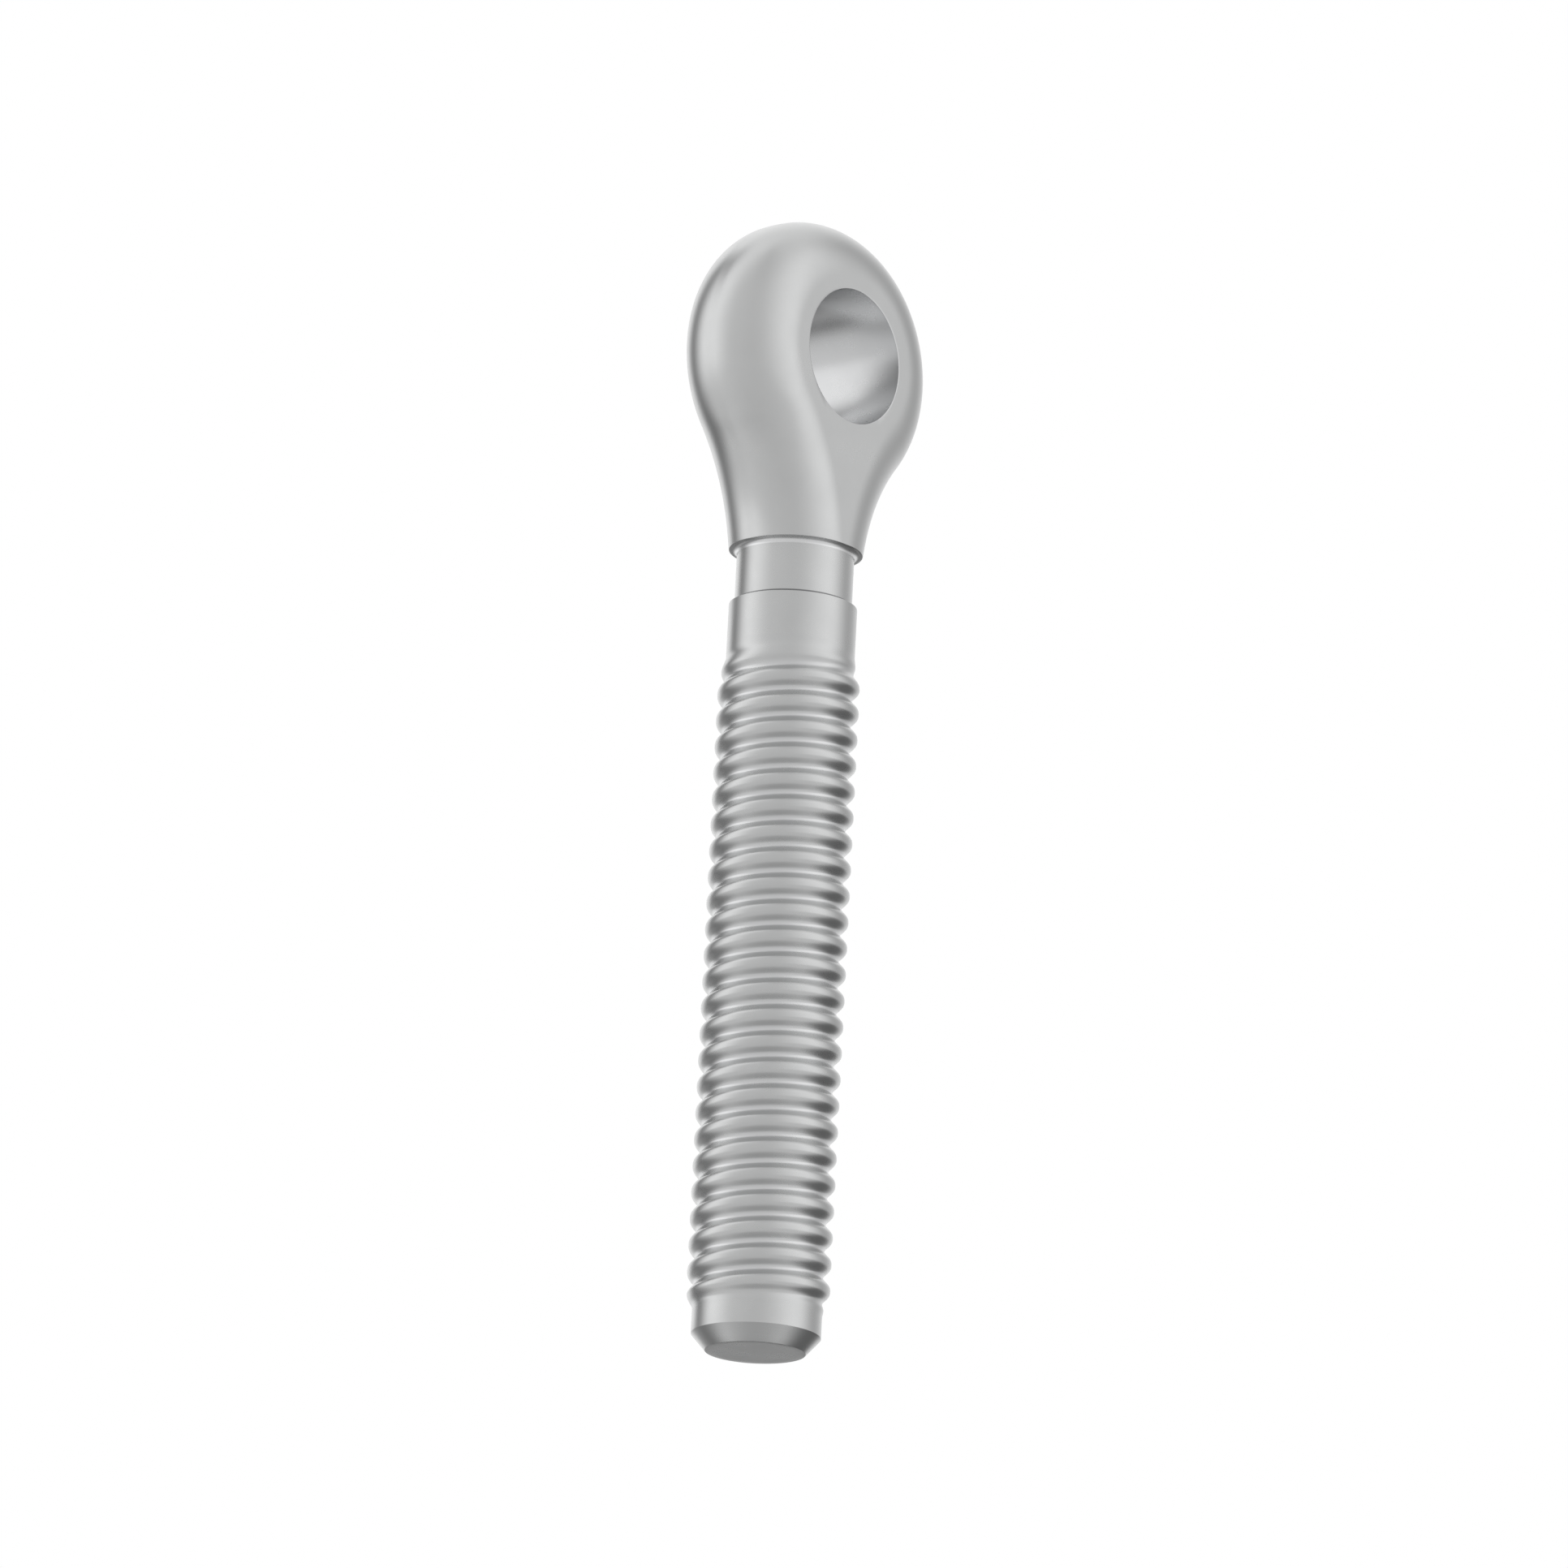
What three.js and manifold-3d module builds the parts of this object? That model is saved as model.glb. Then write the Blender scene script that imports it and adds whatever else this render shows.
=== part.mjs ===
// A forged shank eye bolt: one piece of steel, drawn in millimetres with +Z up along the bolt.
// The origin is the centre of the eye. The hole runs along Y, and the shank hangs down below it.
import * as THREE from "three";
import { mergeVertices } from "three/addons/utils/BufferGeometryUtils.js";
import Module from "manifold-3d";

const wasm = await Module();
wasm.setup();

// ---- Driving dimensions: the eye -------------------------------------------------------------

const EYE_RADIUS = 22.7; // outside of the ring
const BORE_RADIUS = 10.75; // the hole that takes the hook, pin or shackle
const EYE_THICKNESS = 20.3; // across the two flat cheeks
const RIM_RADIUS = 9.5; // rounding from each cheek over to the rim
const LEAST_FLAT = 0.3; // least width left flat beside that rounding where the metal is thin
const THROAT_LENGTH = 8; // from the underside of the ring down to the shoulder
const THROAT_STRAIGHT = 1.6; // straight start of the throat's sides, before they hollow out
const THROAT_SLOPE = THREE.MathUtils.degToRad(11); // lean of that straight start, from upright

// ---- Driving dimensions: the shank -----------------------------------------------------------

const THREAD_DIAMETER = 22.2; // over the crests
const THREAD_PITCH = 4.2;
const THREAD_DEPTH = 1.2; // crest to root, on the radius
const CREST_ABOVE_SHANK = 1.05; // a rolled thread stands above the plain shank
const SHANK_ABOVE_NECK = 0.85; // depth of the turned relief under the head
const SHOULDER_ABOVE_SHANK = 0.3; // half width of the throat's foot, beyond the plain shank
const SHOULDER_TO_END = 128.2; // whole length under the head
const NECK_LENGTH = 8.8; // the turned relief
const NECK_FILLET = 0.8; // inside corner between the relief and the shoulder
const PLAIN_LENGTH = 7.5; // full shank between the relief and the thread
const POINT_LENGTH = 6.0; // plain point below the thread
const POINT_CHAMFER = 2.25; // what the lead-in takes off the point's radius
const POINT_TAPER = 2.55; // length of that lead-in
const TOP_RUN_OUT = 6.2; // stretch over which the thread fades into the shank
const FOOT_RUN_OUT = 3.0; // stretch over which it rises from the point
const ROOT_SHARPNESS = 3; // higher makes the grooves narrower and the crests broader
const THREAD_START = THREE.MathUtils.degToRad(-131); // where the groove starts round the shank

// ---- How finely the curves are divided -------------------------------------------------------

const ROWS_PER_PITCH = 6;
const SEGMENTS_PER_ROW = 4; // round the shank, while the thread climbs from one row to the next
const SHANK_SEGMENTS = ROWS_PER_PITCH * SEGMENTS_PER_ROW;
const RING_STEPS = 40;
const THROAT_STEPS = 7;
const RIM_STEPS = 5;
const BORE_SEGMENTS = 48;
const FILLET_STEPS = 3;

// ---- Sizes that follow from them -------------------------------------------------------------

const crestRadius = THREAD_DIAMETER / 2;
const shankRadius = crestRadius - CREST_ABOVE_SHANK;
const neckRadius = shankRadius - SHANK_ABOVE_NECK;
const shoulderHalf = shankRadius + SHOULDER_ABOVE_SHANK;
const pointRadius = shankRadius - POINT_CHAMFER;
const ringWall = EYE_RADIUS - BORE_RADIUS;
const rimRadius = Math.min(RIM_RADIUS, Math.min(EYE_THICKNESS / 2, shoulderHalf, ringWall) - LEAST_FLAT);

const shoulderZ = -(EYE_RADIUS + THROAT_LENGTH);
const neckZ = shoulderZ - NECK_LENGTH;
const threadTopZ = neckZ - PLAIN_LENGTH;
const endZ = shoulderZ - SHOULDER_TO_END;
const threadFootZ = endZ + POINT_LENGTH;

// ---- Helpers ---------------------------------------------------------------------------------

// A closed three.js geometry as a solid that can be joined and cut.
function solidOf(geometry) {
  geometry.deleteAttribute("normal");
  geometry.deleteAttribute("uv");
  const merged = mergeVertices(geometry, 1e-4);
  return new wasm.Manifold(
    new wasm.Mesh({
      numProp: 3,
      vertProperties: new Float32Array(merged.getAttribute("position").array),
      triVerts: new Uint32Array(merged.index.array),
    }),
  );
}

function geometryOf(solid) {
  const { vertProperties, triVerts, numProp } = solid.getMesh();
  const corners = new Float32Array(triVerts.length * 3);
  triVerts.forEach((vertex, i) => {
    for (let axis = 0; axis < 3; axis++) corners[3 * i + axis] = vertProperties[numProp * vertex + axis];
  });
  const geometry = new THREE.BufferGeometry();
  geometry.setAttribute("position", new THREE.BufferAttribute(corners, 3));
  geometry.computeVertexNormals();
  return geometry;
}

// Points on an arc about (cx, cy), both ends included.
function arcPoints(cx, cy, radius, fromAngle, toAngle, steps) {
  return Array.from({ length: steps + 1 }, (_, i) => {
    const angle = fromAngle + ((toAngle - fromAngle) * i) / steps;
    return new THREE.Vector2(cx + radius * Math.cos(angle), cy + radius * Math.sin(angle));
  });
}

// ---- The eye and its throat ------------------------------------------------------------------

// The side of the throat: a short leaning line up from the shoulder, then a hollow arc that
// touches both that line and the ring.
function throatSide() {
  const up = new THREE.Vector2(Math.sin(THROAT_SLOPE), Math.cos(THROAT_SLOPE));
  const out = new THREE.Vector2(up.y, -up.x);
  const foot = new THREE.Vector2(shoulderHalf, shoulderZ);
  const start = foot.clone().addScaledVector(up, THROAT_STRAIGHT);
  // The arc's centre is one radius out from the line, and that radius plus the ring's from the
  // centre of the eye, which leaves one radius that does both.
  const radius = (start.lengthSq() - EYE_RADIUS ** 2) / (2 * (EYE_RADIUS - start.dot(out)));
  const centre = start.addScaledVector(out, radius);
  const ringAngle = Math.atan2(centre.y, centre.x);
  const arc = arcPoints(
    centre.x, centre.y, radius, Math.PI - THROAT_SLOPE, Math.PI + ringAngle, THROAT_STEPS,
  );
  return { foot, arc, ringAngle };
}

// The eye seen along its hole: the ring's circle run down into the throat on both sides.
function eyeOutline() {
  const { foot, arc, ringAngle } = throatSide();
  const ring = arcPoints(0, 0, EYE_RADIUS, ringAngle, Math.PI / 2, RING_STEPS / 2);
  // The outline runs on below the shoulder, so that the rounding of its lower edge is cut away.
  const below = new THREE.Vector2(foot.x, foot.y - 2 * rimRadius);
  const right = [below, foot, ...arc, ...ring.slice(1)];
  const left = right.slice(0, -1).reverse().map((point) => new THREE.Vector2(-point.x, point.y));
  return new THREE.Shape([...right, ...left]);
}

function makeEye() {
  const blank = new THREE.ExtrudeGeometry(eyeOutline(), {
    depth: EYE_THICKNESS - 2 * rimRadius,
    bevelThickness: rimRadius,
    bevelSize: rimRadius,
    bevelOffset: -rimRadius,
    bevelSegments: RIM_STEPS,
    curveSegments: 1,
  });
  blank.rotateX(Math.PI / 2);
  blank.translate(0, EYE_THICKNESS / 2 - rimRadius, 0);
  const bore = new THREE.CylinderGeometry(BORE_RADIUS, BORE_RADIUS, 2 * EYE_THICKNESS, BORE_SEGMENTS);
  const cutDepth = 4 * rimRadius;
  const waste = new THREE.BoxGeometry(4 * EYE_RADIUS, 2 * EYE_THICKNESS, cutDepth);
  waste.translate(0, 0, shoulderZ - cutDepth / 2);
  return solidOf(blank).subtract(solidOf(bore)).subtract(solidOf(waste));
}

// ---- The shank -------------------------------------------------------------------------------

// 0 on the plain shank and 1 on the full thread, with a smooth fade at each end.
function threadShare(z) {
  const fromTop = THREE.MathUtils.smoothstep(threadTopZ - z, 0, TOP_RUN_OUT);
  const fromFoot = THREE.MathUtils.smoothstep(z - threadFootZ, 0, FOOT_RUN_OUT);
  return Math.min(fromTop, fromFoot);
}

// The radius at a height and a turn round the shank. The groove climbs one pitch in one turn.
function threadRadius(z, turn) {
  const phase = (z - threadFootZ) / THREAD_PITCH - turn;
  const full = crestRadius - THREAD_DEPTH * Math.abs(Math.cos(Math.PI * phase)) ** ROOT_SHARPNESS;
  return shankRadius + (full - shankRadius) * threadShare(z);
}

// Half section of the shank, from its top, inside the throat, down to its point. The rows that
// carry the thread come from threadRow on.
function shankProfile() {
  const rootedZ = shoulderZ + NECK_LENGTH / 2;
  const fillet = arcPoints(
    neckRadius + NECK_FILLET, shoulderZ - NECK_FILLET, NECK_FILLET, Math.PI / 2, Math.PI, FILLET_STEPS,
  );
  const above = [
    new THREE.Vector2(0, rootedZ),
    new THREE.Vector2(neckRadius - SHANK_ABOVE_NECK, rootedZ),
    ...fillet,
    new THREE.Vector2(neckRadius, neckZ),
    new THREE.Vector2(shankRadius, neckZ),
  ];
  const rowStep = THREAD_PITCH / ROWS_PER_PITCH;
  const lastRow = Math.ceil((threadTopZ - threadFootZ) / rowStep);
  const thread = Array.from({ length: lastRow + 1 }, (_, i) => {
    return new THREE.Vector2(shankRadius, threadFootZ + (lastRow - i) * rowStep);
  });
  const below = [
    new THREE.Vector2(shankRadius, endZ + POINT_TAPER),
    new THREE.Vector2(pointRadius, endZ),
    new THREE.Vector2(0, endZ),
  ];
  return { profile: [...above, ...thread, ...below], threadRow: above.length, threadRows: thread.length };
}

// The lathe's rows are level, but the thread climbs. So each row climbs with the thread for
// SEGMENTS_PER_ROW segments and then steps back by one row: every row then keeps to crests,
// flanks and roots, and the quads' diagonals carry the thread across the steps.
function makeShank() {
  const { profile, threadRow, threadRows } = shankProfile();
  const shank = new THREE.LatheGeometry(profile, SHANK_SEGMENTS);
  const position = shank.getAttribute("position");
  for (let segment = 0; segment <= SHANK_SEGMENTS; segment++) {
    const turn = segment / SHANK_SEGMENTS;
    const climb = ((segment % SEGMENTS_PER_ROW) / SHANK_SEGMENTS) * THREAD_PITCH;
    for (let row = threadRow; row < threadRow + threadRows; row++) {
      const vertex = segment * profile.length + row;
      const z = profile[row].y + climb;
      const radius = threadRadius(z, turn);
      const angle = 2 * Math.PI * turn;
      position.setXYZ(vertex, radius * Math.sin(angle), z, radius * Math.cos(angle));
    }
  }
  // A profile that runs downwards turns the faces inwards, so the triangles are turned round again.
  shank.index.array.reverse();
  shank.rotateX(Math.PI / 2);
  shank.rotateZ(THREAD_START);
  return solidOf(shank);
}

// ---- The part --------------------------------------------------------------------------------

const steel = new THREE.MeshStandardMaterial({ color: 0xb9babc, roughness: 0.38, metalness: 1 });

const eyeBolt = new THREE.Mesh(geometryOf(makeEye().add(makeShank())), steel);
eyeBolt.name = "eye_bolt";

const part = new THREE.Group();
part.add(eyeBolt);

export default part;
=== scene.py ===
# %% [markdown]
# # A forged eye bolt
# This lesson builds one piece of lifting hardware: a bolt with a thick ring at its top, a tapering
# throat under the ring, a turned relief, and a long shank with a coarse rolled thread. The real
# bolt is a single bar of steel, forged, turned and rolled, so here it is one closed mesh too.
# A separate program has already fixed its sizes. This script loads that plain model as a frame,
# and makes the fine surface, the finish, the light and the camera around it.

# %% Load the frame
import math

import bpy
import numpy as np
from mathutils import Matrix, Vector


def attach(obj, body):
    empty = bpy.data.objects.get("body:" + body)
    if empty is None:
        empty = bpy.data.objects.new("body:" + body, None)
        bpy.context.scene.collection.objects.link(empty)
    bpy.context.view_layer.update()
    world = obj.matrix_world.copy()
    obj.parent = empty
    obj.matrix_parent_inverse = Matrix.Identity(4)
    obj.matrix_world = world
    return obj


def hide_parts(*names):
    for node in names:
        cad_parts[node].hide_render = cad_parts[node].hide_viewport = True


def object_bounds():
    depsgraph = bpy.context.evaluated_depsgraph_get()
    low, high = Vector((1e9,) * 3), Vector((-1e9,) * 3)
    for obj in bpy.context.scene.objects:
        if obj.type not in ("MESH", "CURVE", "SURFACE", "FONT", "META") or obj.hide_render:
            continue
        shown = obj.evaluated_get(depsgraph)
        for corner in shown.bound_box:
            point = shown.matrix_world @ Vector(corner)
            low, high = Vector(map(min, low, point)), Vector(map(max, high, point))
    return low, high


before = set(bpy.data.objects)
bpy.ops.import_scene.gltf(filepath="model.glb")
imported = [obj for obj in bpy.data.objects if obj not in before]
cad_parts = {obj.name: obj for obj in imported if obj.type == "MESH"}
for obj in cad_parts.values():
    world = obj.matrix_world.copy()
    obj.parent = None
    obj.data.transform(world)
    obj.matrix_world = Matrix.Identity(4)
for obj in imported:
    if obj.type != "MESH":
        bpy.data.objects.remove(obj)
cad_low, cad_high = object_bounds()
print("nodes:", sorted(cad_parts))
print("box in mm:", [round(1000 * v, 1) for v in (*cad_low, *cad_high)])

# %% [markdown]
# ## Sizes
# Blender works in metres and the drawing of a bolt in millimetres, so each size is written as
# millimetres times MM. The overall sizes are read from the frame, so that the fine mesh can't
# drift away from it: the ring's radius is how far the model reaches along X, and its lowest point
# is the bolt's end. The rest are the turner's and the forger's own sizes.

# %% The sizes of the eye and throat
MM = 0.001
eye_radius = cad_high.x
end_z = cad_low.z
bore_radius = 10.75 * MM
eye_thickness = 20.3 * MM
rim_radius = 9.5 * MM
throat_length = 8.0 * MM
throat_straight = 1.6 * MM
throat_slope = math.radians(11)
shoulder_z = -(eye_radius + throat_length)
print("shoulder at", round(shoulder_z / MM, 2), "mm, end at", round(end_z / MM, 2), "mm")

# %% The sizes of the shank
crest_above_shank = 1.05 * MM
shank_above_neck = 0.85 * MM
shoulder_above_shank = 0.3 * MM
neck_length = 8.8 * MM
plain_length = 7.5 * MM
point_length = 6.0 * MM
crest_radius = 11.1 * MM
shank_radius = crest_radius - crest_above_shank
neck_radius = shank_radius - shank_above_neck
shoulder_half = shank_radius + shoulder_above_shank
neck_z = shoulder_z - neck_length
thread_top_z = neck_z - plain_length
thread_foot_z = end_z + point_length
point_chamfer = 2.25 * MM
point_taper = 2.55 * MM
thread_pitch = 4.2 * MM
thread_depth = 1.2 * MM
thread_start = math.radians(-131)
root_sharpness = 3
print("threaded length", round((thread_top_z - thread_foot_z) / MM, 1), "mm")

# %% [markdown]
# ## The throat
# Seen along its hole, the eye is a circle that runs down into the shank through two hollow
# curves. One could draw that outline by hand with a Bezier curve. Here it is worked out instead,
# because a real forging die is cut from arcs that touch: a short leaning line comes up from the
# shoulder, and one arc touches both that line and the ring. The arc's radius is the only one that
# fits, and the formula for it follows from the distance between the two centres.

# %% Work out the arc of the throat
throat_up = Vector((math.sin(throat_slope), math.cos(throat_slope)))
throat_out = Vector((throat_up.y, -throat_up.x))
throat_foot = Vector((shoulder_half, shoulder_z))
throat_start = throat_foot + throat_up * throat_straight
throat_radius = (throat_start.length_squared - eye_radius**2) / (
    2 * (eye_radius - throat_start.dot(throat_out))
)
throat_centre = throat_start + throat_out * throat_radius
ring_angle = math.atan2(throat_centre.y, throat_centre.x)
print("throat radius", round(throat_radius / MM, 1), "mm")

# %% [markdown]
# ## The rim is a stack of outlines
# The ring isn't a torus: it has flat cheeks and a fully rounded rim, and the rounding runs on
# down the throat. The Bevel modifier could round a flat plate, but a radius this large, almost
# half the plate's thickness, makes it pinch where the throat is narrow. So the rim is laid out as
# a grid. Each row of the grid is the outline moved inwards by a distance that depends on how far
# round the rim the row lies, and moving a line or an arc inwards only changes its radius.

# %% One outline, moved inwards
LINE_STEPS = 4
ARC_STEPS = 26
RING_STEPS = 66
edge_break = 0.1 * MM


def arc(cx, cy, radius, start, stop, steps):
    """Points on an arc from angle start to angle stop, both ends included."""
    angles = np.linspace(start, stop, steps + 1)
    return np.stack([cx + radius * np.cos(angles), cy + radius * np.sin(angles)], 1)


def outline(inset):
    """The eye's outline, inset inwards, as (x, z) points from the right foot over to the left."""
    line_top = throat_start - throat_out * inset
    fall = (line_top.y - shoulder_z - edge_break) / throat_up.y
    line_foot = line_top - throat_up * fall
    line = np.linspace(line_foot, line_top, LINE_STEPS + 1)
    throat_top = math.pi + ring_angle
    throat = arc(
        *throat_centre, throat_radius + inset, math.pi - throat_slope, throat_top, ARC_STEPS
    )
    ring = arc(0, 0, eye_radius - inset, ring_angle, math.pi / 2, RING_STEPS)
    right = np.concatenate([line, throat[1:], ring[1:]])
    left = right[-2::-1] * (-1, 1)
    return np.concatenate([right, left])


outline_points = len(outline(0))
print("points in one outline:", outline_points)

# %% [markdown]
# ## Collecting one mesh
# All the grids share their edge points, so the bolt comes out as one closed skin with no seams to
# weld afterwards. A small class keeps the points and faces as they are made. `loop` adds a ring of
# points and gives back their numbers, and `skin` joins two rings with a band of faces. Each face
# also keeps the number of its finish.

# %% A collector for points and faces
FORGED, TURNED, THREAD = 0, 1, 2
points, faces, finishes = [], [], []


def loop(coordinates):
    """Adds points and returns their numbers."""
    first = len(points)
    points.extend(map(tuple, coordinates))
    return list(range(first, len(points)))


def skin(upper, lower, finish, closed=True, split=None):
    """Joins two rows of points by quads. Columns that split names are cut along the thread."""
    columns = len(upper) if closed else len(upper) - 1
    for i in range(columns):
        j = (i + 1) % len(upper)
        if split and split(i):
            faces.append((upper[i], lower[i], upper[j]))
            faces.append((lower[i], lower[j], upper[j]))
            finishes.extend([finish, finish])
        else:
            faces.append((upper[i], lower[i], lower[j], upper[j]))
            finishes.append(finish)


# %% [markdown]
# ## The rounded rim
# The rim's rounding is a half circle with a narrow flat band in the middle. Each row of the grid
# has an angle on it, which gives both its inset and its place along the hole's axis.

# %% Build the rim
RIM_ROWS = 32
half_angles = np.linspace(0, math.pi / 2, RIM_ROWS)
band_half = eye_thickness / 2 - rim_radius
rim_angles = np.concatenate([-half_angles[::-1], half_angles])
rim_sides = np.concatenate([-np.ones(RIM_ROWS), np.ones(RIM_ROWS)])
rim = []
for angle, side in zip(rim_angles, rim_sides):
    xz = outline(rim_radius * (1 - math.cos(angle)))
    y = np.full(outline_points, side * band_half + rim_radius * math.sin(angle))
    rim.append(loop(np.stack([xz[:, 0], y, xz[:, 1]], 1)))
for front, back in zip(rim, rim[1:]):
    skin(front, back, FORGED, closed=False)
print("rim:", len(rim), "rows of", outline_points, "points")

# %% [markdown]
# ## Cheeks and bore
# Each cheek is the flat between the rim and the hole. It is filled with rings that slide from the
# rim's last row to a circle, and the circle's points are spread by distance along the outline, so
# that the faces stay even all the way down the long tail of the throat. A drilled hole never has a
# razor edge: a small rounded break, a tenth of a millimetre, gives it the thin line of light
# that makes an edge look real.

# %% Fill the cheeks and drill the bore
CHEEK_RINGS = 7
BREAK_STEPS = 3
BORE_RINGS = 10


def bore_circle(radius, y):
    """A circle round the hole, with one point for each point of the outline."""
    flat = outline(rim_radius)
    run = np.concatenate([[0], np.cumsum(np.linalg.norm(np.diff(flat, axis=0), axis=1))])
    gap = 2 * math.pi / outline_points
    turn = -math.pi / 2 + gap / 2 + (2 * math.pi - gap) * run / run[-1]
    return np.stack([radius * np.cos(turn), np.full(outline_points, y), radius * np.sin(turn)], 1)


def cheek_rows(side):
    """Rows of one cheek, from the rim to the start of the hole's wall. side is -1 or 1."""
    rim_row = rim[-1] if side > 0 else rim[0]
    outer = np.array([points[i] for i in rim_row])
    inner = bore_circle(bore_radius + edge_break, side * eye_thickness / 2)
    rows = [rim_row]
    rows += [loop(outer + (inner - outer) * k / CHEEK_RINGS) for k in range(1, CHEEK_RINGS + 1)]
    for k in range(1, BREAK_STEPS + 1):
        bend = math.pi / 2 * k / BREAK_STEPS
        radius = bore_radius + edge_break * (1 - math.sin(bend))
        y = side * (eye_thickness / 2 - edge_break * (1 - math.cos(bend)))
        rows.append(loop(bore_circle(radius, y)))
    return rows


front_rows, back_rows = cheek_rows(-1), cheek_rows(1)
for k in range(len(front_rows) - 1):
    finish = FORGED if k < CHEEK_RINGS else TURNED
    skin(front_rows[k + 1], front_rows[k], finish)
    skin(back_rows[k], back_rows[k + 1], finish)
wall_start = eye_thickness / 2 - edge_break
wall_places = np.linspace(-wall_start, wall_start, BORE_RINGS + 2)[1:-1]
wall = [front_rows[-1]]
wall += [loop(bore_circle(bore_radius, y)) for y in wall_places]
wall.append(back_rows[-1])
for front, back in zip(wall, wall[1:]):
    skin(back, front, TURNED)
print("bore:", round(2 * bore_radius / MM, 1), "mm across")

# %% [markdown]
# ## The shoulder
# Under the throat the lathe tool has cut a flat step. Its outer edge is the throat's own section,
# which isn't quite round, and its inner edge is the round relief. Both have the same number of
# points, so one band of faces joins them. The outer edge gets a small break like the hole's.

# %% Close the throat with its shoulder
right_foot = [row[0] for row in rim]
left_foot = [row[-1] for row in reversed(rim)]
foot_loop = right_foot + left_foot
columns = len(foot_loop)
foot = np.array([points[i] for i in foot_loop])
inward = np.concatenate([-np.cos(rim_angles), np.cos(rim_angles[::-1])])
sideways = np.concatenate([-np.sin(rim_angles), -np.sin(rim_angles[::-1])])
last = foot_loop
for k in range(1, BREAK_STEPS + 1):
    bend = math.pi / 2 * k / BREAK_STEPS
    move = edge_break * (1 - math.cos(bend))
    drop = edge_break * math.sin(bend)
    row = loop(foot + np.stack([move * inward, move * sideways, np.full(columns, -drop)], 1))
    skin(last, row, TURNED)
    last = row
print("shoulder loop:", columns, "points")

# %% [markdown]
# ## The turned profile
# Everything below the shoulder is a lathe's work, so it is drawn as half a section and spun. The
# Screw modifier could spin it, but the rows then wouldn't meet the shoulder's points. The section
# is a list of corners, each with the radius that rounds it. The corner under the shoulder gets a
# wide fillet, the one at the foot of the relief gets the tool's own nose radius, and outside
# corners get a light break. The fillet stops a hair short of its full width, which leaves the
# section a short level start.

# %% Round the corners of a section
def rounded(corners):
    """Points of a section given as (radius from the axis, z, corner radius)."""
    out = [Vector(corners[0][:2])]
    for before, here, after in zip(corners, corners[1:], corners[2:]):
        corner = Vector(here[:2])
        to_before = (Vector(before[:2]) - corner).normalized()
        to_after = (Vector(after[:2]) - corner).normalized()
        half = to_before.angle(to_after) / 2
        reach = here[2] / math.tan(half)
        centre = corner + (to_before + to_after).normalized() * (here[2] / math.sin(half))
        first = corner + to_before * reach - centre
        turn = first.angle_signed(corner + to_after * reach - centre)
        for k in range(2 * BREAK_STEPS + 1):
            out.append(centre + Matrix.Rotation(-turn * k / (2 * BREAK_STEPS), 2) @ first)
    out.append(Vector(corners[-1][:2]))
    return out


def divided(section, longest):
    """The same section with its long stretches divided, so that the faces stay even."""
    out = [section[0]]
    for a, b in zip(section, section[1:]):
        parts = max(1, math.ceil((b - a).length / longest))
        out += [a.lerp(b, k / parts) for k in range(1, parts + 1)]
    return out


neck_fillet = 0.8 * MM
tool_nose = 0.3 * MM
row_length = 1.2 * MM
section_start = 0.99 * neck_fillet
fillet_radius = 0.98 * neck_fillet
gap_above_thread = 0.5 * MM
above_thread = divided(
    rounded([
        (neck_radius + section_start, shoulder_z, 0),
        (neck_radius, shoulder_z, fillet_radius),
        (neck_radius, neck_z, tool_nose),
        (shank_radius, neck_z, edge_break),
        (shank_radius, thread_top_z + gap_above_thread, 0),
    ]),
    row_length,
)
print("rows from the shoulder to the thread:", len(above_thread))

# %% [markdown]
# ## The rolled thread
# A thread is one groove that climbs a pitch in each turn. A ring of points that lies level would
# cut across it, and its crests would look nibbled. A mesh that follows the helix needs a seam
# where the first turn meets the second. This one has both: each row climbs with the thread for a
# few columns, then steps back by one row, and the faces at each step are cut along the thread.
# The wave that shapes it is a power of a cosine, which gives broad round crests and narrow roots.
# It fades into the shank at the top and rises out of the point at the foot, as a rolled thread
# does where the dies leave the bar.

# %% The shape of the thread
ROWS_PER_PITCH = 16
COLUMNS_PER_ROW = columns // ROWS_PER_PITCH
top_run_out = 6.2 * MM
foot_run_out = 3.0 * MM


def ease(share):
    """A share from 0 to 1 that starts and ends gently."""
    share = min(max(share, 0.0), 1.0)
    return share * share * (3 - 2 * share)


def thread_radius(z, turn):
    """The shank's radius at a height and a turn round it."""
    phase = (z - thread_foot_z) / thread_pitch - turn + thread_start / (2 * math.pi)
    full = crest_radius - thread_depth * abs(math.cos(math.pi * phase)) ** root_sharpness
    share = min(ease((thread_top_z - z) / top_run_out), ease((z - thread_foot_z) / foot_run_out))
    return shank_radius + (full - shank_radius) * share


def thread_row(z):
    """One row of points that climbs with the thread and steps back."""
    out = []
    for column in range(columns):
        turn = (column + 0.5) / columns
        climbed = z + thread_pitch * (column % COLUMNS_PER_ROW) / columns
        radius = thread_radius(climbed, turn)
        angle = 2 * math.pi * turn - math.pi / 2
        out.append((radius * math.cos(angle), radius * math.sin(angle), climbed))
    return out


def turned_row(radius, z):
    """One level ring of points."""
    angles = 2 * math.pi * (np.arange(columns) + 0.5) / columns - math.pi / 2
    return np.stack([radius * np.cos(angles), radius * np.sin(angles), np.full(columns, z)], 1)


row_step = thread_pitch / ROWS_PER_PITCH
thread_rows = math.ceil((thread_top_z - thread_foot_z) / row_step)
print("rows in the thread:", thread_rows + 1)

# %% [markdown]
# ## Down the shank to the point
# The real bar is turned from the shoulder down, and its point gets a lead-in that helps it find the
# hole it screws into. A Boolean could join a finished thread to a finished bar, but it leaves thin
# faces along the join. Here the rows simply follow one another, level ones first, then the thread's,
# then level ones again, and a fan of faces closes the end.

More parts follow.
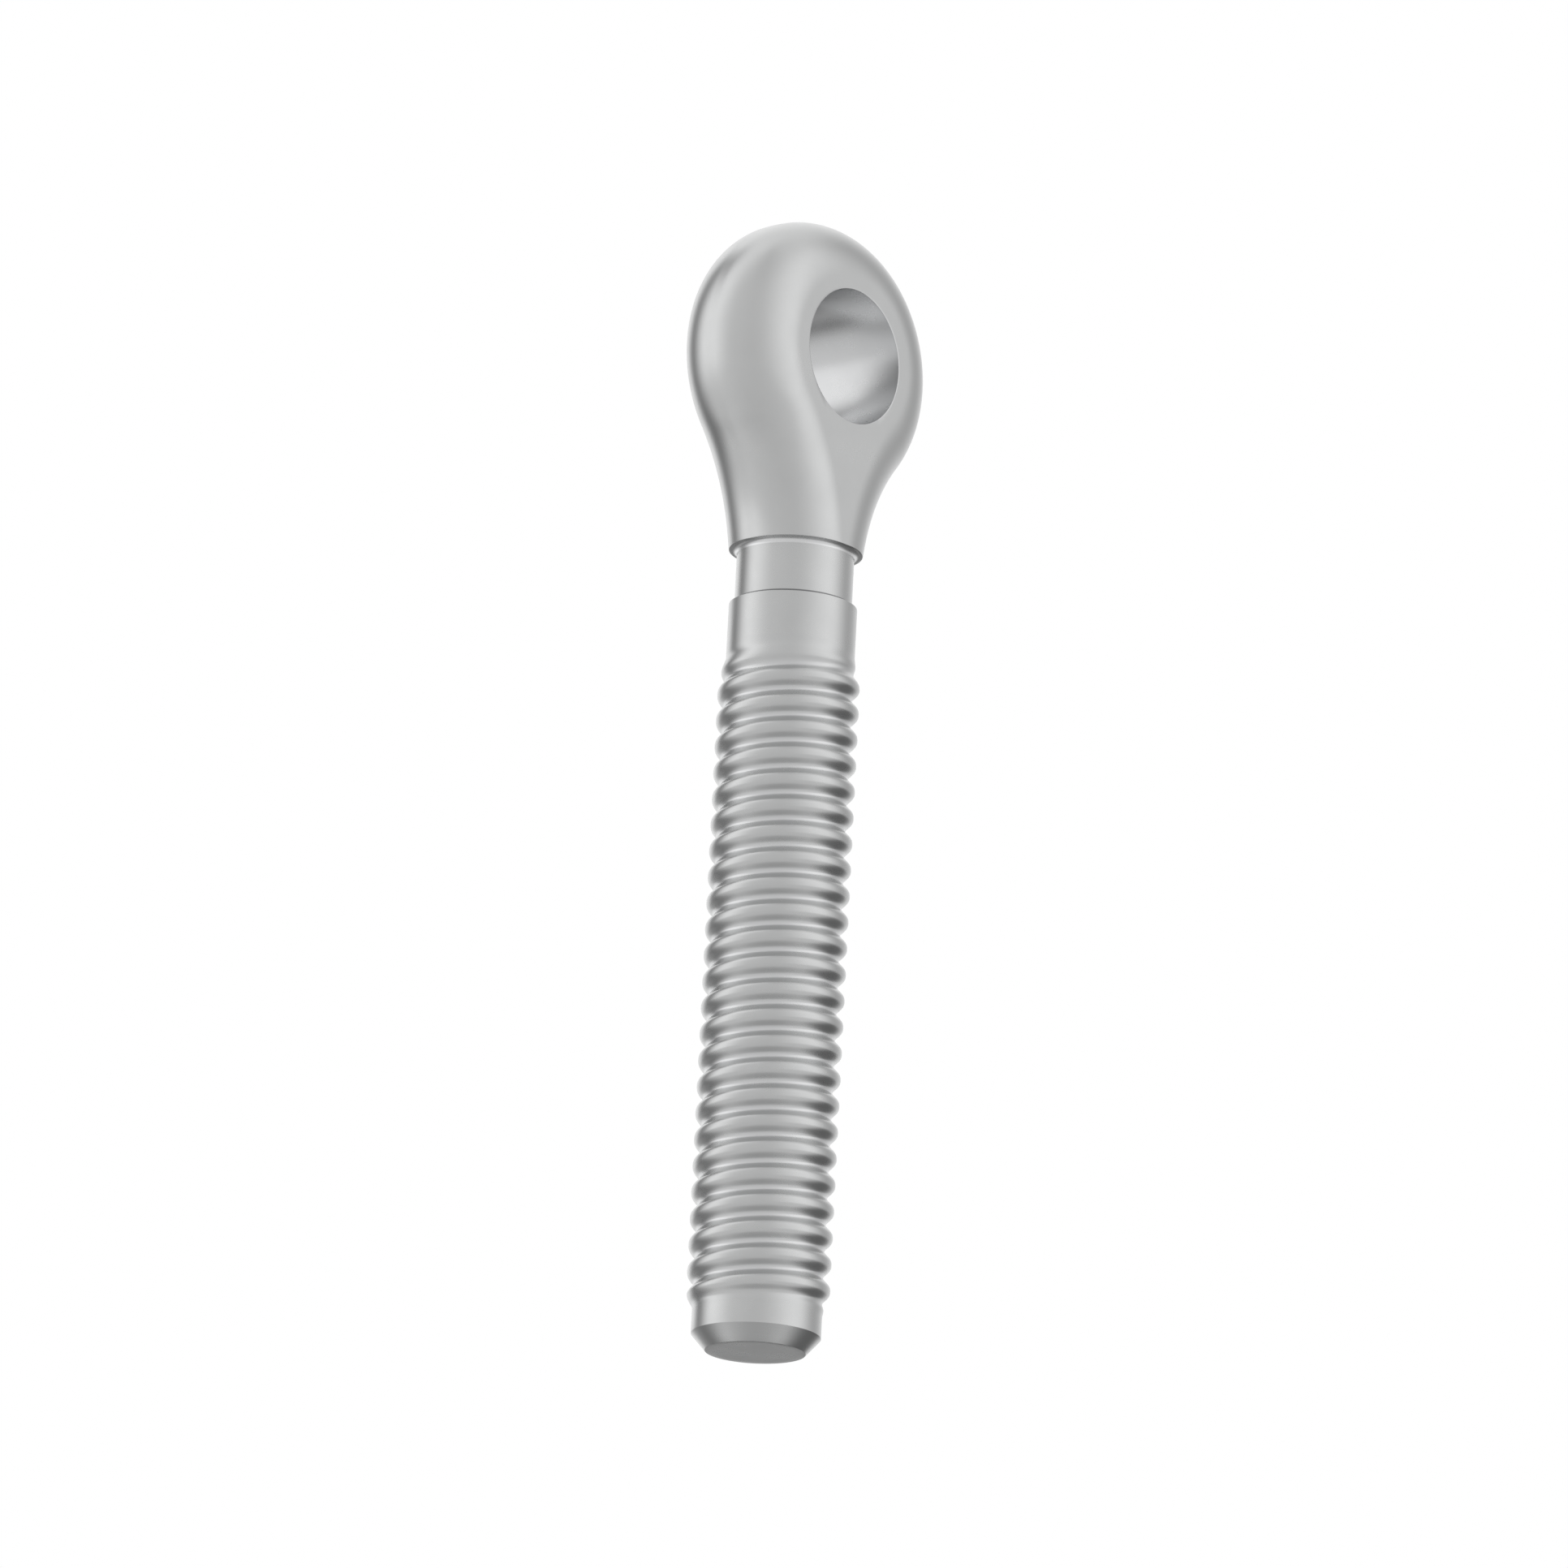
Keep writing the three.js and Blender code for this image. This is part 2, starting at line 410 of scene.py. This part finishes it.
# %% Spin the shank down to its point
for station in above_thread:
    row = loop(turned_row(*station))
    skin(last, row, TURNED)
    last = row
for k in range(thread_rows, -1, -1):
    row = loop(thread_row(thread_foot_z + k * row_step))
    skin(last, row, THREAD, split=lambda i: i % COLUMNS_PER_ROW == COLUMNS_PER_ROW - 1)
    last = row

end_radius = shank_radius - point_chamfer
fan_radius = 0.12 * end_radius
gap_below_thread = 0.3 * MM
below_thread = divided(
    rounded([
        (shank_radius, thread_foot_z - gap_below_thread, 0),
        (shank_radius, end_z + point_taper, edge_break),
        (end_radius, end_z, edge_break),
        (fan_radius, end_z, 0),
    ]),
    row_length,
)
for station in below_thread:
    row = loop(turned_row(*station))
    skin(last, row, TURNED)
    last = row
tip = loop([(0, 0, end_z)])[0]
for i in range(columns):
    faces.append((last[i], tip, last[(i + 1) % columns]))
    finishes.append(TURNED)
print("end face:", round(2 * end_radius / MM, 1), "mm across, points in all:", len(points))

# %% [markdown]
# ## One mesh, shaded smoothly
# `from_pydata` turns the lists into a mesh. The faces are shaded smoothly, and a Weighted Normal
# modifier lets the large flat faces decide the shading beside each small edge break, so the cheeks,
# the shoulder and the end face stay flat while their edges still catch the light.

# %% Make the mesh
bolt_mesh = bpy.data.meshes.new("forged_bolt")
bolt_mesh.from_pydata(points, [], faces)
bolt_mesh.polygons.foreach_set("material_index", finishes)
bolt_mesh.polygons.foreach_set("use_smooth", [True] * len(faces))
bolt_mesh.update()
bolt = bpy.data.objects.new("forged_bolt", bolt_mesh)
bpy.context.scene.collection.objects.link(bolt)
weighting = bolt.modifiers.new("flat faces decide the shading", "WEIGHTED_NORMAL")
weighting.keep_sharp = True

edge_uses = {}
for polygon in bolt_mesh.polygons:
    for key in polygon.edge_keys:
        edge_uses[key] = edge_uses.get(key, 0) + 1
open_edges = sum(1 for uses in edge_uses.values() if uses != 2)
print("faces:", len(faces), "open edges:", open_edges)

# %% [markdown]
# ## Tools for the finishes
# The bolt shows three finishes, and all of them are the same bare steel: the satin skin of the
# forged eye, the turned faces, and the rolled thread. What they share is built as node groups, each
# with named inputs and outputs, so that a material can place a group with its own values. A few
# small helpers keep the wiring short: one starts a group with its sockets, one adds a Math node, and
# one adds a Map Range node. Both nodes take plain numbers or links.

# %% Helpers for shader nodes
FLOAT = "NodeSocketFloat"
COLOR = "NodeSocketColor"


def start_group(name, inputs, outputs):
    """A new node group with its sockets, and its input and output nodes."""
    tree = bpy.data.node_groups.new(name, "ShaderNodeTree")
    for label, kind, value in inputs:
        socket = tree.interface.new_socket(label, in_out="INPUT", socket_type=kind)
        socket.default_value = value
    for label, kind in outputs:
        tree.interface.new_socket(label, in_out="OUTPUT", socket_type=kind)
    return tree, tree.nodes.new("NodeGroupInput"), tree.nodes.new("NodeGroupOutput")


def feed(tree, sockets, values):
    """Fills a node's input sockets. Each value is a number or an output of another node."""
    for socket, value in zip(sockets, values):
        if isinstance(value, (int, float)):
            socket.default_value = value
        else:
            tree.links.new(value, socket)


def math_node(tree, operation, *values):
    """A Math node, which works out one number from its values."""
    node = tree.nodes.new("ShaderNodeMath")
    node.operation = operation
    feed(tree, node.inputs, values)
    return node.outputs[0]


def map_range(tree, value, from_low, from_high, to_low, to_high):
    """A Map Range node that clamps its result."""
    node = tree.nodes.new("ShaderNodeMapRange")
    feed(tree, node.inputs, (value, from_low, from_high, to_low, to_high))
    return node.outputs[0]


print("socket kinds:", FLOAT, COLOR)

# %% [markdown]
# ## Steel tone
# Bare steel is never one even grey. Handling, oil and the way the scale came off leave soft patches
# a few millimetres wide, a little lighter or darker and a little more or less shiny. A Noise
# texture in object coordinates gives such patches, and as its size is in metres, they keep their
# real width on every part. The group gives a colour and a roughness from the same patches.

# %% A group for the tone of bare steel
PATCH_LOW = 0.3
PATCH_HIGH = 0.7
tone_group, tone_in, tone_out = start_group(
    "steel_tone",
    [
        ("Light Steel", COLOR, (0.62, 0.62, 0.62, 1)),
        ("Dark Steel", COLOR, (0.58, 0.58, 0.58, 1)),
        ("Patch Size", FLOAT, 5 * MM),
        ("Least Roughness", FLOAT, 0.27),
        ("Most Roughness", FLOAT, 0.32),
    ],
    [("Color", COLOR), ("Roughness", FLOAT)],
)
place = tone_group.nodes.new("ShaderNodeTexCoord").outputs["Object"]
patches = tone_group.nodes.new("ShaderNodeTexNoise")
patches.inputs["Detail"].default_value = 4
patches.inputs["Roughness"].default_value = 0.6
tone_group.links.new(place, patches.inputs["Vector"])
tone_group.links.new(
    math_node(tone_group, "DIVIDE", 1.0, tone_in.outputs["Patch Size"]), patches.inputs["Scale"]
)
share = map_range(tone_group, patches.outputs[0], PATCH_LOW, PATCH_HIGH, 0.0, 1.0)
blend = tone_group.nodes.new("ShaderNodeMix")
blend.data_type = "RGBA"
tone_group.links.new(share, blend.inputs["Factor"])
tone_group.links.new(tone_in.outputs["Light Steel"], blend.inputs["A"])
tone_group.links.new(tone_in.outputs["Dark Steel"], blend.inputs["B"])
tone_group.links.new(blend.outputs["Result"], tone_out.inputs["Color"])
tone_group.links.new(
    map_range(
        tone_group, share, 0.0, 1.0,
        tone_in.outputs["Least Roughness"], tone_in.outputs["Most Roughness"],
    ),
    tone_out.inputs["Roughness"],
)
print("group:", tone_group.name, "with", len(tone_group.nodes), "nodes")

# %% [markdown]
# ## Fine grain
# A forging is blasted clean, which leaves its skin covered in shallow dimples a few tenths of a
# millimetre wide. They are too small to model, but they soften every reflection. The group mixes
# two sizes of noise into one height, for a Bump node in the material.

# %% A group for the grain of a blasted skin
COARSE_SCALE = 0.3
grain_group, grain_in, grain_out = start_group(
    "fine_grain",
    [("Grain Size", FLOAT, 0.4 * MM), ("Coarse Share", FLOAT, 0.5)],
    [("Height", FLOAT)],
)
place = grain_group.nodes.new("ShaderNodeTexCoord").outputs["Object"]
fine_scale = math_node(grain_group, "DIVIDE", 1.0, grain_in.outputs["Grain Size"])
heights = []
for scale in (fine_scale, math_node(grain_group, "MULTIPLY", fine_scale, COARSE_SCALE)):
    noise = grain_group.nodes.new("ShaderNodeTexNoise")
    noise.inputs["Detail"].default_value = 1
    grain_group.links.new(place, noise.inputs["Vector"])
    grain_group.links.new(scale, noise.inputs["Scale"])
    heights.append(noise.outputs[0])
coarse = math_node(grain_group, "MULTIPLY", heights[1], grain_in.outputs["Coarse Share"])
grain_group.links.new(
    math_node(grain_group, "ADD", heights[0], coarse), grain_out.inputs["Height"]
)
print("group:", grain_group.name, "with", len(grain_group.nodes), "nodes")

# %% [markdown]
# ## Turning lines
# A lathe tool leaves a very fine spiral of lines. On the shank they run round the bolt's axis, so
# they change with the height, and on the shoulder and the end they change with the distance from
# the axis. The sum of both serves all these faces at once. In the hole the lines run round the
# hole's own axis instead, so there they change along Y. The group finds out which by measuring how
# far a point lies from each axis.

# %% A group for the lines left by turning and drilling
hole_reach = bore_radius + 1 * MM
lines_group, lines_in, lines_out = start_group(
    "turning_lines",
    [("Line Width", FLOAT, 0.2 * MM)],
    [("Height", FLOAT), ("From Axis", FLOAT), ("In Hole", FLOAT)],
)
place = lines_group.nodes.new("ShaderNodeTexCoord").outputs["Object"]
split_place = lines_group.nodes.new("ShaderNodeSeparateXYZ")
lines_group.links.new(place, split_place.inputs[0])
x, y, z = split_place.outputs


def distance(tree, a, b):
    """How far a point is from an axis, from its two coordinates across that axis."""
    squares = math_node(tree, "ADD", math_node(tree, "POWER", a, 2), math_node(tree, "POWER", b, 2))
    return math_node(tree, "SQRT", squares)


from_shank = distance(lines_group, x, y)
along_shank = math_node(lines_group, "ADD", from_shank, z)
in_hole = math_node(lines_group, "LESS_THAN", distance(lines_group, x, z), hole_reach)
chosen = lines_group.nodes.new("ShaderNodeMix")
lines_group.links.new(in_hole, chosen.inputs["Factor"])
lines_group.links.new(along_shank, chosen.inputs["A"])
lines_group.links.new(y, chosen.inputs["B"])
lines = lines_group.nodes.new("ShaderNodeTexNoise")
lines.noise_dimensions = "1D"
lines.inputs["Scale"].default_value = 1
lines.inputs["Detail"].default_value = 1
lines_group.links.new(
    math_node(lines_group, "DIVIDE", chosen.outputs["Result"], lines_in.outputs["Line Width"]),
    lines.inputs["W"],
)
lines_group.links.new(lines.outputs[0], lines_out.inputs["Height"])
lines_group.links.new(from_shank, lines_out.inputs["From Axis"])
lines_group.links.new(in_hole, lines_out.inputs["In Hole"])
print("group:", lines_group.name, "with", len(lines_group.nodes), "nodes")

# %% [markdown]
# ## The three materials
# A material is a Principled BSDF with Metallic at 1, which is all that bare metal needs: its base
# colour is then the colour of its reflections. The numbers that are the same all over are set on
# the shader itself, and the groups feed only its colour, roughness and normal.

# %% Start a steel material
LIGHT_STEEL = (0.62, 0.625, 0.625, 1)
DARK_STEEL = (0.60, 0.605, 0.605, 1)


def place_group(material, group, **values):
    """Places a node group in a material and sets its inputs. Underscores stand for spaces."""
    node = material.node_tree.nodes.new("ShaderNodeGroup")
    node.node_tree = group
    for label, value in values.items():
        node.inputs[label.replace("_", " ")].default_value = value
    return node


def bare_steel(name, height_group, height_values, relief, **tone_values):
    """A steel material with the shared tone, and a bump of a given relief from a height group."""
    material = bpy.data.materials.new(name)
    material.use_nodes = True
    links = material.node_tree.links
    shader = material.node_tree.nodes["Principled BSDF"]
    shader.inputs["Metallic"].default_value = 1
    tone = place_group(
        material, tone_group, Light_Steel=LIGHT_STEEL, Dark_Steel=DARK_STEEL, **tone_values
    )
    links.new(tone.outputs["Color"], shader.inputs["Base Color"])
    links.new(tone.outputs["Roughness"], shader.inputs["Roughness"])
    bump = material.node_tree.nodes.new("ShaderNodeBump")
    bump.inputs["Strength"].default_value = 1
    bump.inputs["Distance"].default_value = relief
    height = place_group(material, height_group, **height_values)
    links.new(height.outputs["Height"], bump.inputs["Height"])
    links.new(bump.outputs["Normal"], shader.inputs["Normal"])
    print("material:", name)
    return material


# %% The forged skin of the eye and throat
forged_skin = bare_steel(
    "forged_skin",
    grain_group,
    {"Grain_Size": 0.3 * MM, "Coarse_Share": 0.8},
    relief=0.004 * MM,
    Patch_Size=7 * MM,
    Least_Roughness=0.27,
    Most_Roughness=0.31,
)

# %% The turned and drilled faces
turned_steel = bare_steel(
    "turned_steel",
    lines_group,
    {"Line_Width": 0.45 * MM},
    relief=0.0012 * MM,
    Patch_Size=5 * MM,
    Least_Roughness=0.26,
    Most_Roughness=0.30,
)

# %% [markdown]
# ## Corners and the hole
# A thin dark line of painted shade sets off the foot of the turned relief, in the corner there. A
# small group marks a band of the shank by its height. It also marks the fillet at the top of the
# relief, where a painted highlight lightens the colour. The hole is rubbed a little brighter too,
# by the drill and the pin. All three are blended over the colour that the material already has.

# %% A group that marks a band of the shank
band_group, band_in, band_out = start_group(
    "shank_band",
    [("Band Height", FLOAT, 0.0), ("Reach", FLOAT, 0.5 * MM), ("Full Share", FLOAT, 0.6)],
    [("Mask", FLOAT)],
)
split_place = band_group.nodes.new("ShaderNodeSeparateXYZ")
band_place = band_group.nodes.new("ShaderNodeTexCoord").outputs["Object"]
band_group.links.new(band_place, split_place.inputs[0])
off_band = math_node(band_group, "SUBTRACT", split_place.outputs[2], band_in.outputs["Band Height"])
off_band = math_node(band_group, "ABSOLUTE", off_band)
near = math_node(band_group, "DIVIDE", off_band, band_in.outputs["Reach"])
band_group.links.new(
    map_range(band_group, near, band_in.outputs["Full Share"], 1.0, 1.0, 0.0),
    band_out.inputs["Mask"],
)
print("group:", band_group.name, "with", len(band_group.nodes), "nodes")

# %% Paint shade into the corner and a highlight onto the fillet, and tint the hole
def tint(material, mask, colour, most=1.0):
    """Blends a colour over a material's base colour where the mask is 1."""
    tree = material.node_tree
    shader = tree.nodes["Principled BSDF"]
    mix = tree.nodes.new("ShaderNodeMix")
    mix.data_type = "RGBA"
    mix.inputs["B"].default_value = colour
    tree.links.new(shader.inputs["Base Color"].links[0].from_socket, mix.inputs["A"])
    tree.links.new(math_node(tree, "MULTIPLY", mask, most), mix.inputs["Factor"])
    tree.links.new(mix.outputs["Result"], shader.inputs["Base Color"])


# Painted shade: a near-black colour for the thin band in the corner at the foot of the relief.
PAINTED_CORNER_SHADE = (0.14, 0.14, 0.145, 1)
# Painted highlight: a light colour for the fillet under the shoulder, where it catches the light.
PAINTED_FILLET_HIGHLIGHT = (0.78, 0.785, 0.79, 1)
RUBBED_STEEL = (0.67, 0.675, 0.68, 1)
shade_band_z = neck_z + 0.22 * MM
shade_band_reach = 0.28 * MM
fillet_z = shoulder_z - 0.45 * MM
fillet_reach = 0.42 * MM
# The corner band is painted shade: it darkens the colour at the foot of the relief.
corner = place_group(turned_steel, band_group, Band_Height=shade_band_z, Reach=shade_band_reach)
tint(turned_steel, corner.outputs["Mask"], PAINTED_CORNER_SHADE, most=0.85)
# The fillet band is a painted highlight: it lightens the colour on the fillet.
fillet_highlight_band = place_group(
    turned_steel, band_group, Band_Height=fillet_z, Reach=fillet_reach, Full_Share=0.7
)
tint(turned_steel, fillet_highlight_band.outputs["Mask"], PAINTED_FILLET_HIGHLIGHT)
tint(turned_steel, place_group(turned_steel, lines_group).outputs["In Hole"], RUBBED_STEEL)
print("turned steel:", len(turned_steel.node_tree.nodes), "nodes")

# %% [markdown]
# ## The finish of the thread
# Rolling presses the thread out of the bar between hard dies. A thin bright line along each root
# is a painted highlight: a lighter colour painted into the roots. How far a point lies from the
# bolt's axis tells a root from a crest, and the turning group already measures that, so this
# material places it beside the grain and paints the roots lighter by it.

# %% The thread and its painted root highlight
rolled_thread = bare_steel(
    "rolled_thread",
    grain_group,
    {"Grain_Size": 0.25 * MM, "Coarse_Share": 0.5},
    relief=0.002 * MM,
    Patch_Size=6 * MM,
    Least_Roughness=0.26,
    Most_Roughness=0.30,
)
# Painted highlight: a lighter colour blended into the thread roots to draw a bright line there.
PAINTED_ROOT_HIGHLIGHT = (0.72, 0.725, 0.73, 1)
from_axis = place_group(rolled_thread, lines_group).outputs["From Axis"]
root_radius = crest_radius - thread_depth
root_limit = shank_radius + 0.2 * MM
painted_root_highlight_mask = map_range(rolled_thread.node_tree, from_axis, root_radius, root_limit, 1.0, 0.0)
in_thread = place_group(
    rolled_thread, band_group,
    Band_Height=(thread_top_z + thread_foot_z) / 2,
    Reach=(thread_top_z - thread_foot_z) / 2,
    Full_Share=0.9,
)
painted_root_highlight_mask = math_node(rolled_thread.node_tree, "MULTIPLY", painted_root_highlight_mask, in_thread.outputs["Mask"])
tint(rolled_thread, painted_root_highlight_mask, PAINTED_ROOT_HIGHLIGHT)
print("thread material:", len(rolled_thread.node_tree.nodes), "nodes")

# %% [markdown]
# ## Putting the finishes on
# The faces already know their finish by number, so the materials go onto the mesh in that order.
# The bolt is one rigid piece: it rides on the frame's root, and stands in for the plain model's one
# node.

# %% Give the bolt its finishes and its place in the frame
for material in (forged_skin, turned_steel, rolled_thread):
    bolt_mesh.materials.append(material)
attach(bolt, "root")
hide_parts("eye_bolt")
print("finishes:", [material.name for material in bolt_mesh.materials])

# %% [markdown]
# ## The camera
# The camera looks up at the hanging bolt from a low place, turned about fifty degrees away from the
# face of the eye, so that the hole, the rim and the end face all show. A long lens from two metres
# keeps the shank's sides almost parallel. The bolt leans a little in the frame, so the camera rolls.

# %% Set up the camera
camera_turn = math.radians(-48.76)
camera_rise = math.radians(-15.21)
camera_roll = math.radians(2.918)
camera_distance = 2.013
camera_lens = 296.7
middle = (cad_low + cad_high) / 2
away = Vector((
    math.sin(camera_turn) * math.cos(camera_rise),
    -math.cos(camera_turn) * math.cos(camera_rise),
    math.sin(camera_rise),
))
camera_data = bpy.data.cameras.new("camera")
camera_data.lens = camera_lens
camera = bpy.data.objects.new("camera", camera_data)
bpy.context.scene.collection.objects.link(camera)
camera.location = middle + away * camera_distance
camera.rotation_mode = "QUATERNION"
facing = (-away).to_track_quat("-Z", "Y")
camera.rotation_quaternion = facing @ Matrix.Rotation(camera_roll, 3, "Z").to_quaternion()
bpy.context.scene.camera = camera
print("camera at", [round(v, 2) for v in camera.location], "m")

# %% [markdown]
# ## A light tent
# Metal has no look of its own: it mirrors whatever stands around it. So shiny hardware is shown in
# a light tent, a dome of white cloth with soft boxes behind it. Where a box stands the cloth glows,
# and the darker cloth between two boxes draws the bands that give a round bar its shape. Area
# lights could stand for the boxes, but their edges show as streaks in satin steel. Here the world
# itself is the tent. Three bands of cloth, overhead, round the sides and below, each have a few
# tones round the circle, and a Color Ramp blends each tone softly into the next. Straight
# underneath, the cloth is one even grey.

# %% The boxes of the tent
# A box stands to the left, to the right and behind, with a gap beside the left one and the right
# one, and plain cloth in front. Each place is a turn in degrees from the camera, to the right, and
# each tone is a brightness. BACK_BOX is where the box behind ends, and CLOTH_EDGE is where the
# left box's glow ends.
BEHIND = -180
BACK_BOX = -150
LEFT_GAP = -125
LEFT_BOX = -90
CLOTH_EDGE = -40
FRONT = 0
RIGHT_BOX = 75
RIGHT_GAP = 120
sides = [
    (BEHIND, 1.1), (BACK_BOX, 1.1), (LEFT_GAP, 0.2), (LEFT_BOX, 1.2),
    (CLOTH_EDGE, 0.75), (FRONT, 0.7), (RIGHT_BOX, 1.1), (RIGHT_GAP, 0.5),
]
below = [
    (BEHIND, 0.15), (BACK_BOX, 0.4), (LEFT_GAP, 0.2), (LEFT_BOX, 0.8),
    (FRONT, 0.7), (RIGHT_BOX, 0.8), (RIGHT_GAP, 0.15),
]
overhead = [(BEHIND, 0.95), (LEFT_BOX, 1.0), (FRONT, 0.65), (RIGHT_BOX, 0.85)]
underneath = [(BEHIND, 0.45)]
print("tones:", len(overhead), "overhead,", len(sides), "round the sides,", len(below), "below")

# %% Wire the tent into the world
world = bpy.data.worlds.new("light_tent")
bpy.context.scene.world = world
world.use_nodes = True
tent = world.node_tree
towards = tent.nodes.new("ShaderNodeSeparateXYZ")
tent.links.new(tent.nodes.new("ShaderNodeTexCoord").outputs["Generated"], towards.inputs[0])
tent_x, tent_y, tent_z = towards.outputs
turn_share = math_node(tent, "DIVIDE", math_node(tent, "ARCTAN2", tent_y, tent_x), 2 * math.pi)
camera_side = math.atan2(away.y, away.x) / (2 * math.pi)
ramp_middle = 0.5 - camera_side + 1  # one more turn keeps it above 0
around = math_node(tent, "FRACT", math_node(tent, "ADD", turn_share, ramp_middle))
rise = math_node(tent, "MULTIPLY", math_node(tent, "ARCSINE", tent_z), 180 / math.pi)


def cloth(tones):
    """One band of cloth: a Color Ramp that goes once round the tent, and closes on itself."""
    ramp = tent.nodes.new("ShaderNodeValToRGB")
    ramp.color_ramp.interpolation = "EASE"
    stops = ramp.color_ramp.elements
    for turn, tone in [*tones, (180, tones[0][1])]:
        place = (turn + 180) / 360
        stop = stops[0] if place == 0 else stops[-1] if place == 1 else stops.new(place)
        stop.color = (tone, tone, tone, 1)
    tent.links.new(around, ramp.inputs[0])
    return ramp.outputs[0]


def blend_cloth(rises, lower, upper):
    """Blends a lower band of cloth into an upper one, between two rises in degrees."""
    mix = tent.nodes.new("ShaderNodeMix")
    mix.data_type = "RGBA"
    share = map_range(tent, rise, *rises, 0.0, 1.0)
    for label, source in (("Factor", share), ("A", lower), ("B", upper)):
        tent.links.new(source, mix.inputs[label])
    return mix.outputs["Result"]


FOOT_RISES = (-72, -50)
SIDE_RISES = (-15, -5)
TOP_RISES = (47, 68)
tent_foot = blend_cloth(FOOT_RISES, cloth(underneath), cloth(below))
lower_tent = blend_cloth(SIDE_RISES, tent_foot, cloth(sides))
whole_tent = blend_cloth(TOP_RISES, lower_tent, cloth(overhead))
print("tent:", len(tent.nodes), "nodes")

# %% [markdown]
# ## Floor and background
# The bolt hangs over a plain pale floor, well below it. The floor is left out of the steel's
# reflections, because a white floor would fill the undersides of the threads with light and
# flatten them. What the camera sees behind the bolt is plain white: a Light Path node tells the
# camera's own rays from the light that reaches the steel.

# %% Lay the floor
FLOOR_DROP = 0.8
FLOOR_RADIUS = 5.2
PALE_PAINT = (0.90, 0.90, 0.90, 1)
bpy.ops.mesh.primitive_circle_add(
    vertices=128, radius=FLOOR_RADIUS, fill_type="NGON", location=(0, 0, -FLOOR_DROP)
)
floor = bpy.context.object
floor.name = "floor"
floor.visible_glossy = False
floor_paint = bpy.data.materials.new("pale_floor")
floor_paint.use_nodes = True
paint = floor_paint.node_tree.nodes["Principled BSDF"]
paint.inputs["Base Color"].default_value = PALE_PAINT
paint.inputs["Roughness"].default_value = 0.9
floor.data.materials.append(floor_paint)
print("floor", FLOOR_DROP, "m below the eye")

# %% Clear the background
WHITE = (1, 1, 1, 1)
background = tent.nodes.new("ShaderNodeMix")
background.data_type = "RGBA"
background.inputs["B"].default_value = WHITE
seen = tent.nodes.new("ShaderNodeLightPath").outputs["Is Camera Ray"]
tent.links.new(seen, background.inputs["Factor"])
tent.links.new(whole_tent, background.inputs["A"])
tent.links.new(background.outputs["Result"], tent.nodes["Background"].inputs["Color"])
bpy.context.scene.view_settings.view_transform = "Standard"
print("view transform:", bpy.context.scene.view_settings.view_transform)
